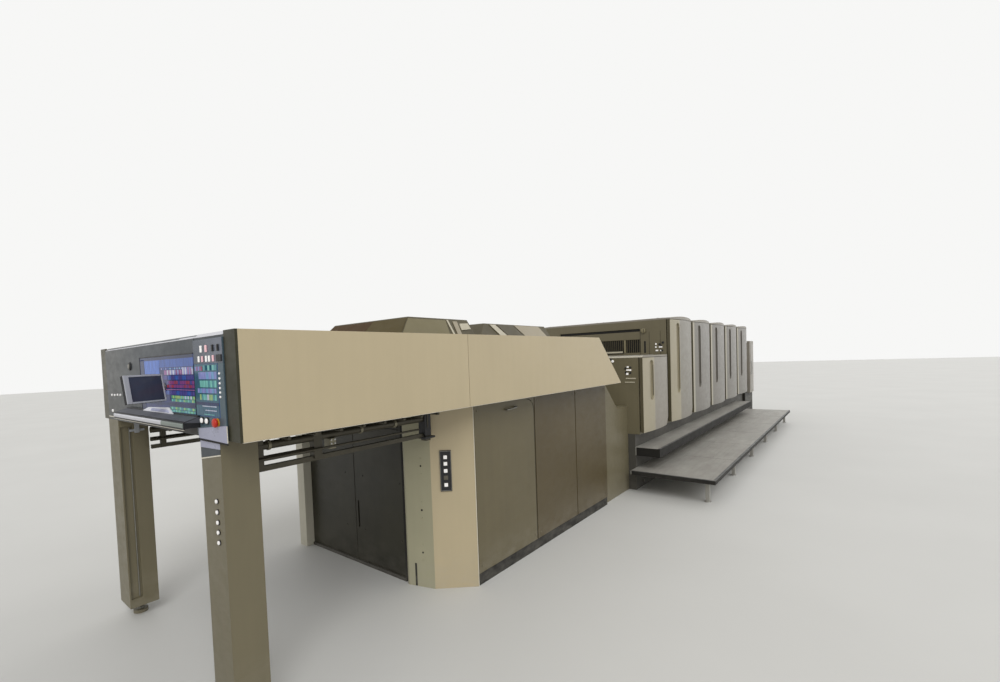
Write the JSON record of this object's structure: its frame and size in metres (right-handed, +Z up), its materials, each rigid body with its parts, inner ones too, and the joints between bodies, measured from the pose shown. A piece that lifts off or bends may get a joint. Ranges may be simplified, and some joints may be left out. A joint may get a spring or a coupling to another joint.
{
  "type": "sheet-fed offset printing press",
  "caption": "Long sheet-fed offset press: beige delivery with an operating panel, a low unit, tall towers with hinged covers, a walkway with steps and a feeder",
  "frame": {"origin": "on the floor under the middle of the press's bounding box", "axes": "+X runs along the press from the delivery to the feeder, -Y is the operator's side with the walkway, +Z is up"},
  "size_m": [14.4654, 2.922, 2.21],
  "materials": {
    "beige_paint": "satin",
    "olive_paint": "satin",
    "pale_paint": "satin",
    "slate_paint": "satin",
    "charcoal_paint": "matte",
    "grey_paint": "satin",
    "base_iron": "matte",
    "tread_plate": "satin",
    "bright_steel": "satin",
    "screen_glass": "gloss",
    "red_plastic": "gloss",
    "black_plastic": "matte",
    "grey_plastic": "satin",
    "white_plastic": "satin",
    "ply_wood": "matte"
  },
  "bodies": {
    "press": {"delivery_post_operator": "olive_paint", "delivery_post_drive": "olive_paint", "front_panel": "slate_paint", "corner_trims": "olive_paint", "main_display": "screen_glass", "control_column": "slate_paint", "emergency_stop": "red_plastic", "sloped_ledge": "black_plastic", "small_monitor": "grey_plastic", "keyboard": "white_plastic", "fascia_operator": "beige_paint", "fascia_drive": "beige_paint", "delivery_housing": "charcoal_paint", "top_hoods": "olive_paint", "pile_rails": "bright_steel", "back_wall": "charcoal_paint", "corner_pillar": "beige_paint", "pillar_guides": "grey_paint", "pillar_buttons": "black_plastic", "rear_housing": "charcoal_paint", "side_guards": "olive_paint", "link_housing": "olive_paint", "low_unit": "olive_paint", "tower_1": "olive_paint", "tower_2": "olive_paint", "tower_3": "olive_paint", "tower_4": "olive_paint", "tower_5": "olive_paint", "tower_roofs": "pale_paint", "drive_covers": "pale_paint", "base_frame": "base_iron", "inner_step": "tread_plate", "outer_platform": "tread_plate", "infeed_body": "charcoal_paint", "feeder_covers": "pale_paint", "feed_board": "bright_steel", "feeder_frame": "olive_paint", "feeder_head": "charcoal_paint", "pile_board": "ply_wood"},
    "low_unit_door": {"low_unit_door": "pale_paint"},
    "tower_1_door": {"tower_1_door": "pale_paint"},
    "tower_2_door": {"tower_2_door": "pale_paint"},
    "tower_3_door": {"tower_3_door": "pale_paint"},
    "tower_4_door": {"tower_4_door": "pale_paint"},
    "tower_5_door": {"tower_5_door": "pale_paint"}
  },
  "joints": [
    {"name": "low_unit_door_hinge", "type": "hinge", "parent": "press", "child": "low_unit_door", "pos_m": [-1.13333, -0.625, 1.2], "axis": [0, 0, 1], "range_deg": [0, 90]},
    {"name": "tower_1_door_hinge", "type": "hinge", "parent": "press", "child": "tower_1_door", "pos_m": [0.11667, -0.625, 1.45], "axis": [0, 0, 1], "range_deg": [0, 90]},
    {"name": "tower_2_door_hinge", "type": "hinge", "parent": "press", "child": "tower_2_door", "pos_m": [1.30666, -0.625, 1.45], "axis": [0, 0, 1], "range_deg": [0, 90]},
    {"name": "tower_3_door_hinge", "type": "hinge", "parent": "press", "child": "tower_3_door", "pos_m": [2.49667, -0.625, 1.45], "axis": [0, 0, 1], "range_deg": [0, 90]},
    {"name": "tower_4_door_hinge", "type": "hinge", "parent": "press", "child": "tower_4_door", "pos_m": [3.68667, -0.625, 1.45], "axis": [0, 0, 1], "range_deg": [0, 90]},
    {"name": "tower_5_door_hinge", "type": "hinge", "parent": "press", "child": "tower_5_door", "pos_m": [4.87667, -0.625, 1.45], "axis": [0, 0, 1], "range_deg": [0, 90]}
  ]
}
